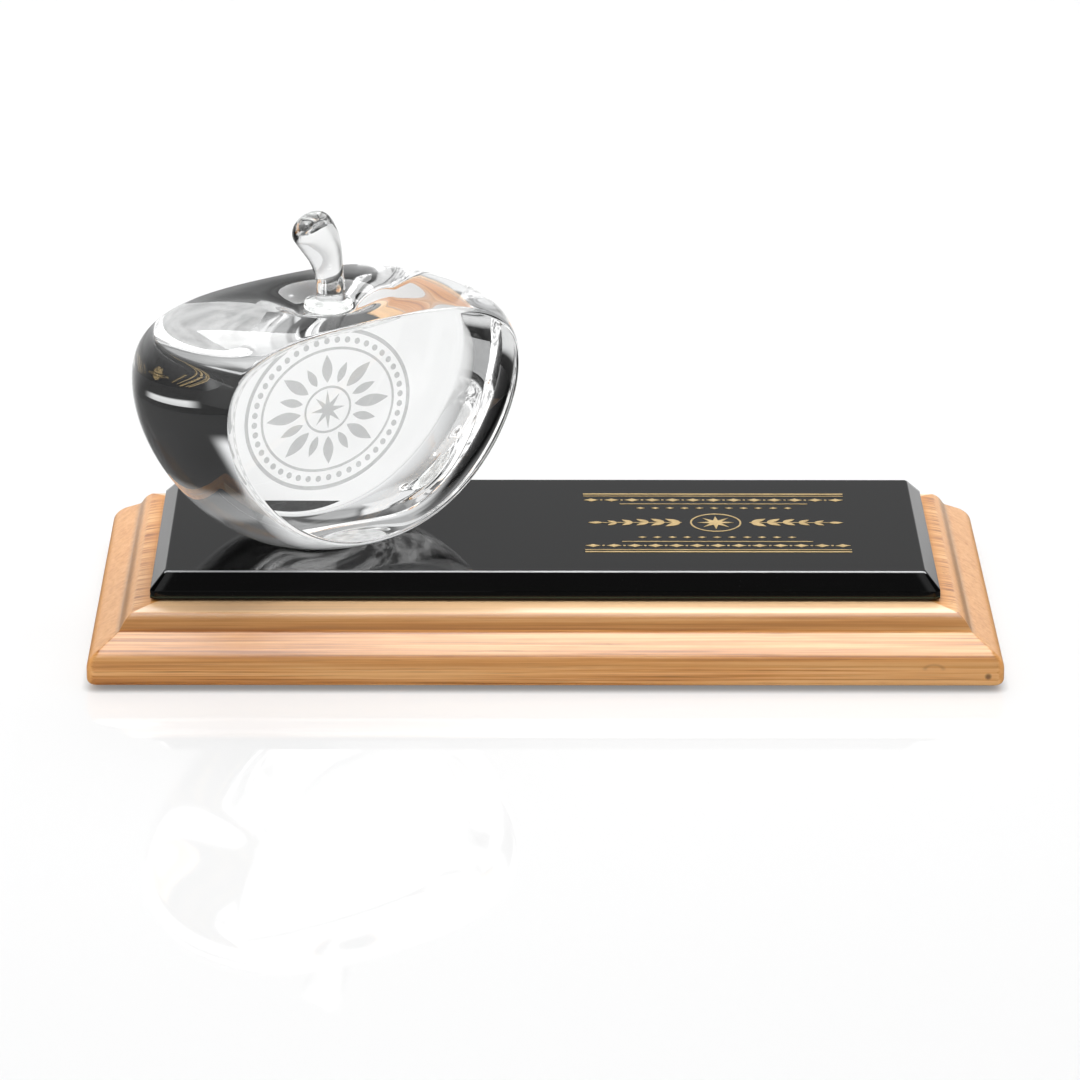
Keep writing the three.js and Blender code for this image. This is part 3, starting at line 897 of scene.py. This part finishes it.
CRYSTAL_TINT = (0.985, 0.992, 0.99)
STEM_TINT = (0.99, 0.995, 0.993)
GLASS_IOR = 1.5
STUDIO_MEAN = 0.85
FROST_TONES = [(0.35, (0.36, 0.365, 0.37)), (0.65, (0.58, 0.585, 0.59))]
ETCHED_TONES = [(0.3, (0.62, 0.64, 0.645)), (0.7, (0.82, 0.84, 0.845))]
ADHESIVE_TONES = [(0.3, (0.90, 0.91, 0.90)), (0.7, (0.96, 0.97, 0.96))]
ADHESIVE_GLOW = [(0.35, (0.22, 0.22, 0.22)), (0.6, (0.42, 0.42, 0.42))]


def clear_glass():
    """Clear crystal with a hardly visible film on its polish."""
    f = new_finish("clear_glass")
    film = f.noise(f.place((0.02, 0.025, 0.03)), detail=3.0, roughness=0.6)
    return f.principled(
        Base_Color=CRYSTAL_TINT,
        Roughness=f.between(film, 0.55, 0.9) * 0.012,
        IOR=GLASS_IOR,
        Transmission_Weight=1.0,
        Emission_Color=f.last_light(STUDIO_MEAN),
        Emission_Strength=1.0,
    )


def stem_glass():
    """Drawn glass: faint swirls along the stem, and a ground face on its cut end, found by its plane."""
    f = new_finish("stem_glass")
    tilt_x, tilt_z = -math.sin(HEAD_TILT), math.cos(HEAD_TILT)
    rim = stem_line(2)[-1] + HEAD_RIM * np.array([tilt_x, tilt_z])
    centre = on_apple(np.array([[rim[0], 0, rim[1] + stem_bottom]]))[0]
    facing = np.array([tilt_x * math.cos(APPLE_TURN), tilt_x * math.sin(APPLE_TURN), tilt_z])
    along = f.measure("DOT_PRODUCT", f.place(), tuple(facing))
    ground = f.between(along - float(facing @ centre * 1000), -0.25, -0.02)
    swirl = f.noise(f.place((0.5, 0.5, 0.09)), detail=3.0, distortion=0.6)
    tooth = f.noise(f.place((3.5, 3.5, 3.5)), detail=4.0, roughness=0.7)
    relief = f.bump(swirl * (1 - ground) + tooth * ground, 0.22, 0.00025)
    clear = f.shader(
        Base_Color=STEM_TINT,
        Roughness=0.004 + ground * 0.36,
        Normal=relief,
        IOR=GLASS_IOR,
        Transmission_Weight=1.0,
    )
    frost = f.node("BsdfDiffuse", {}, {"Color": f.ramp(tooth, FROST_TONES), "Normal": relief})
    f.surface(f.mixed(ground * 0.75, clear, frost))
    return f.owner


def etched_glass():
    """Frosted relief: pale, dull and half see-through, with the bite of the etching in its grain."""
    f = new_finish("etched_glass")
    bite = f.noise(f.place((1.8, 1.8, 1.8)), detail=4.0, roughness=0.7)
    return f.principled(
        Base_Color=f.ramp(bite, ETCHED_TONES),
        Roughness=0.5 + bite * 0.2,
        Normal=f.bump(bite, 0.2, 0.00003),
        Alpha=0.27,
    )


def clear_adhesive():
    """Cured clear adhesive, a little milky. It glows, as lamps don't reach it through the glass."""
    f = new_finish("clear_adhesive")
    cloud = f.noise(f.place((0.35, 0.35, 0.35)), detail=3.0)
    return f.principled(
        Base_Color=f.ramp(cloud, ADHESIVE_TONES),
        Roughness=0.12 + cloud * 0.1,
        Transmission_Weight=0.15,
        IOR=1.48,
        Emission_Color=f.ramp(cloud, ADHESIVE_GLOW),
        Emission_Strength=1.0,
    )


FELT_TONES = [(0.3, (0.010, 0.009, 0.008)), (0.7, (0.035, 0.031, 0.027))]
FOAM_TONES = [(0.1, (0.18, 0.18, 0.175)), (0.6, (0.33, 0.33, 0.32))]


def dark_felt():
    """Pressed felt: matted fibres with loose ends."""
    f = new_finish("felt")
    mat = f.noise(f.place((2.2, 2.2, 2.2)), detail=6.0, roughness=0.75, distortion=0.8)
    return f.principled(
        Base_Color=f.ramp(mat, FELT_TONES),
        Roughness=0.95,
        Normal=f.bump(mat, 0.8, 0.0002),
        Sheen_Weight=0.3,
    )


def foam_tape():
    """Closed-cell foam: a pale body with small cells."""
    f = new_finish("foam_tape")
    cells = f.node("TexVoronoi", {}, {"Vector": f.place((4, 4, 4)), "Scale": 1.0}, output="Distance")
    return f.principled(
        Base_Color=f.ramp(cells, FOAM_TONES),
        Roughness=0.8,
        Normal=f.bump(cells, 0.3, 0.0001),
    )


def dress(material, *nodes):
    """CAD nodes that keep their shapes get a finer material."""
    for node in nodes:
        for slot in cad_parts[node].material_slots:
            slot.material = material


wood, glass, black, gold = honey_wood(), clear_glass(), black_glass(), gold_fill()
etched, bond, felt, tape = etched_glass(), clear_adhesive(), dark_felt(), foam_tape()

make_piece("moulded_board", base_shape(), wood, ["wooden_base"])
make_piece("bevelled_plate", plate_shape(), black, ["glass_plate"])
make_piece("cut_apple", apple_shape(), glass, ["apple_body"])
make_piece("lipped_collar", collar_shape(), glass, ["stem_collar"])
make_piece("curved_stem", stem_shape(), stem_glass(), ["stem"])
for name, shape in (
    ("gold_star", gold_star_shape()), ("gold_sprigs", gold_sprig_shape()),
    ("gold_lozenges", gold_lozenge_shape()), ("gold_hairlines", gold_hairline_shape()),
):
    make_piece(name, on_plate(shape), gold)
make_piece("etched_medallion", medallion_shape(), etched)

dress(gold, "gold_rule_front", "gold_rule_back")
dress(bond, "foot_adhesive", "collar_adhesive", "stem_adhesive")
dress(tape, "mounting_tape_front", "mounting_tape_back")
dress(felt, "felt_pad_front_left", "felt_pad_front_right", "felt_pad_back_left", "felt_pad_back_right")


# Camera: worked out from the edges of the plate and the base in the photograph
PHOTO_PIXELS = 1080
ELEVATION = math.radians(20.5)
YAW, ROLL = -0.009, 0.004  # radians
FOCAL_PIXELS = 5515.8
AIM = np.array([-1.249, 0.0, 23.1]) * MM
DISTANCE = 1634.3 * MM

ahead = np.array([
    -math.sin(YAW) * math.cos(ELEVATION), math.cos(YAW) * math.cos(ELEVATION), -math.sin(ELEVATION),
])
right = np.array([math.cos(YAW), math.sin(YAW), 0.0])
above = np.cross(right, ahead)
rolled_right = math.cos(ROLL) * right + math.sin(ROLL) * above
rolled_above = math.cos(ROLL) * above - math.sin(ROLL) * right
lens = bpy.data.cameras.new("camera")
lens.sensor_width = 36
lens.lens = FOCAL_PIXELS / PHOTO_PIXELS * lens.sensor_width
lens.clip_start, lens.clip_end = 0.05, 100
camera = new_object("camera", lens)
turn = Matrix([list(row) for row in np.stack([rolled_right, rolled_above, -ahead], -1)]).to_4x4()
camera.matrix_world = Matrix.Translation(Vector(AIM - ahead * DISTANCE)) @ turn
bpy.context.scene.camera = camera


# Studio: directions are degrees round the object, 0 behind it and 90 to its right, or above the table
LAMP_AIM = Vector((0, 0, 0.03))
WHITE = (1.0, 1.0, 1.0)
FLAG_BLACK = (0.03, 0.03, 0.03)
CARD_WHITE = (0.72, 0.72, 0.72)
PAPER_STOPS = [(0.0, (0.80, 0.80, 0.80)), (1.0, (0.82, 0.82, 0.82))]
OPEN_PAPER = (0.24, 0.24, 0.24)
PAPER_SHEEN = (0.15, 0.15, 0.15)
SKY_WHITE = (0.99, 0.995, 1.0)


def ray_kinds(f):
    """1 for rays from the camera, 1 for rays off a gloss or out of a glass, and 1 for the latter alone."""
    rays = f.tree.nodes.new("ShaderNodeLightPath").outputs
    kinds = "Is Camera Ray", "Is Glossy Ray", "Is Transmission Ray"
    camera_ray, glossy, through = (Value(f, rays[kind]) for kind in kinds)
    return camera_ray, f.maths("ADD", glossy, through, clamp=True), through


def direction(f, x, y):
    """Degrees round the object."""
    return f.maths("ARCTAN2", x, y) * math.degrees(1)


def floor_finish():
    """White paper, which gloss and glass see end a little way off at the sides and in front of the object.

    For the camera it is partly lit and partly its own white, with a shadow where the object hides the sky.
    """
    f = new_finish("studio_floor")
    camera_ray, indirect, through = ray_kinds(f)
    x, y, _ = f.axes(f.place())
    side, distance = direction(f, x, y), f.maths("SQRT", x * x + y * y)
    paper = f.noise(f.place((0.01, 0.01, 0.01)), detail=3.0)

    # What gloss and glass see: all the paper behind, the part near the object, and a white card on the right
    behind = 1 - f.between(abs(side), 34.0, 68.0)
    near = 0.8 - f.between(distance, 280.0, 560.0) * 0.8
    near = near * (1 - f.window(side, 66.0, 165.0, 8.0) * f.between(distance, 250.0, 340.0))
    card = f.window(side, 90.0, 103.0, 2.0) * f.window(distance, 850.0, 1700.0, 80.0)
    white = f.maths("MAXIMUM", behind, f.maths("MAXIMUM", near, card) * (0.15 + through * 0.85))
    dim = f.node("BsdfDiffuse", {}, {"Color": f.blend(white, FLAG_BLACK, CARD_WHITE)})
    glow = f.node("Emission", {}, {"Color": WHITE, "Strength": 0.02 + white * 0.93})
    reflected = f.mixed(0.55, dim, glow)

    # What the camera sees, and what lights the object
    open_sky = f.node("AmbientOcclusion", {"samples": 16}, {"Distance": 0.003}, output=1)
    bright = f.node("BsdfDiffuse", {}, {"Color": OPEN_PAPER})
    lift = f.node("Emission", {}, {"Color": WHITE, "Strength": 0.1 + open_sky * 0.53})
    sheen = f.node("BsdfGlossy", {}, {"Color": PAPER_SHEEN, "Roughness": 0.02 + paper * 0.01})
    gleam = f.node("AddShader", {}, {0: lift, 1: sheen})
    direct = f.node("AddShader", {}, {0: bright, 1: gleam})
    lit = f.node("BsdfDiffuse", {}, {"Color": f.ramp(paper, PAPER_STOPS)})
    f.surface(f.mixed(camera_ray, f.mixed(indirect, lit, reflected), direct))
    return f.owner


def lay_floor(far=12.0):
    """A square sheet at height 0 that ends this far off."""
    sheet = bpy.data.meshes.new("studio_floor")
    sheet.from_pydata([(-far, -far, 0), (far, -far, 0), (far, far, 0), (-far, far, 0)], [], [(0, 1, 2, 3)])
    sheet.materials.append(floor_finish())
    floor = new_object("studio_floor", sheet)


def softbox(name, place, width, height, level, in_gloss=True):
    """An area lamp turned to the object, as bright as its level. Rays out of glass pass through it."""
    lamp = bpy.data.lights.new(name, "AREA")
    lamp.shape, lamp.size, lamp.size_y = "RECTANGLE", width, height
    lamp.energy = level * width * height * math.pi
    box = new_object(name, lamp)
    turn = (Vector(place) - LAMP_AIM).to_track_quat("Z", "Y").to_matrix().to_4x4()
    box.matrix_world = Matrix.Translation(Vector(place)) @ turn
    box.visible_glossy, box.visible_transmission = in_gloss, False


def studio_world():
    """For gloss and glass: white paper behind, a black flag left, a dim room before, two lights right."""
    world = bpy.data.worlds.new("studio")
    bpy.context.scene.world = world
    f = Finish(world)
    camera_ray, indirect, through = ray_kinds(f)
    x, y, z = f.axes(f.node("TexCoord", output="Generated"))
    side, rise = direction(f, x, y), f.maths("ARCSINE", z) * math.degrees(1)

    def panel(across, across_edge, up, up_edge, level):
        """A panel from one direction to another and one height to another, with soft edges."""
        return f.window(side, *across, across_edge) * f.window(rise, *up, up_edge) * level

    paper = (1 - f.between(abs(side), 22.0, 66.0)) * (0.93 - f.between(rise, 4.0, 42.0) * 0.45)
    paper = paper * (1 - f.window(rise, 15.0, 27.0, 2.0) * (1 - through) * 0.45)
    paper = paper * (1 - panel((-78.0, -25.0), 6.0, (34.0, 48.0), 3.0, 0.72))
    left_room = (1 - f.between(side, -124.0, -106.0)) * 0.42
    right_room = f.between(side, 58.0, 90.0) * (0.03 + f.between(rise, 19.0, 30.0) * 0.1)
    right_room = right_room + panel((92.0, 126.0), 3.0, (19.5, 29.0), 1.5, 0.25)
    right_room = right_room + panel((92.0, 126.0), 4.0, (37.0, 58.0), 3.0, 0.36)
    right_room = right_room + panel((145.0, 172.0), 4.0, (10.0, 32.0), 2.0, 0.25)
    strip = f.window(side - rise * 0.5, 104.5, 117.5, 1.8) * f.window(rise, 5.0, 24.0, 1.5) * 0.95
    box = panel((129.0, 168.0), 3.0, (34.5, 66.0), 2.0, 0.93)
    room = f.maths("MAXIMUM", paper, f.maths("MAXIMUM", left_room + right_room + strip, box))

    # Gloss, unlike glass, sees a dark room in front and little of the bright ceiling there
    front = f.between(abs(side), 112.0, 145.0) * (1 - through)
    above = f.between(rise, 46.0, 70.0) * (0.8 - front * 0.68)
    room = f.maths("MAXIMUM", room * (1 - front * f.between(rise, 30.0, 45.0) * 0.8), above)
    seen = f.node("Background", {}, {"Color": SKY_WHITE, "Strength": room})
    even = f.node("Background", {}, {"Color": WHITE, "Strength": 0.46})
    plain = f.node("Background", {}, {"Color": WHITE, "Strength": 1.0})
    f.surface(f.mixed(camera_ray, f.mixed(indirect, even, seen), plain), "ShaderNodeOutputWorld")


lay_floor()
softbox("overhead_softbox", (0.0, -0.04, 1.0), 0.7, 0.42, 5.5)
softbox("back_softbox", (0.0, 0.62, 0.85), 0.8, 0.6, 4.0)
softbox("left_softbox", (-1.0, -0.45, 0.55), 0.4, 0.8, 2.2, in_gloss=False)
softbox("right_softbox", (1.05, -0.3, 0.6), 0.35, 0.8, 1.4, in_gloss=False)
studio_world()
bpy.context.scene.view_settings.view_transform = "Standard"
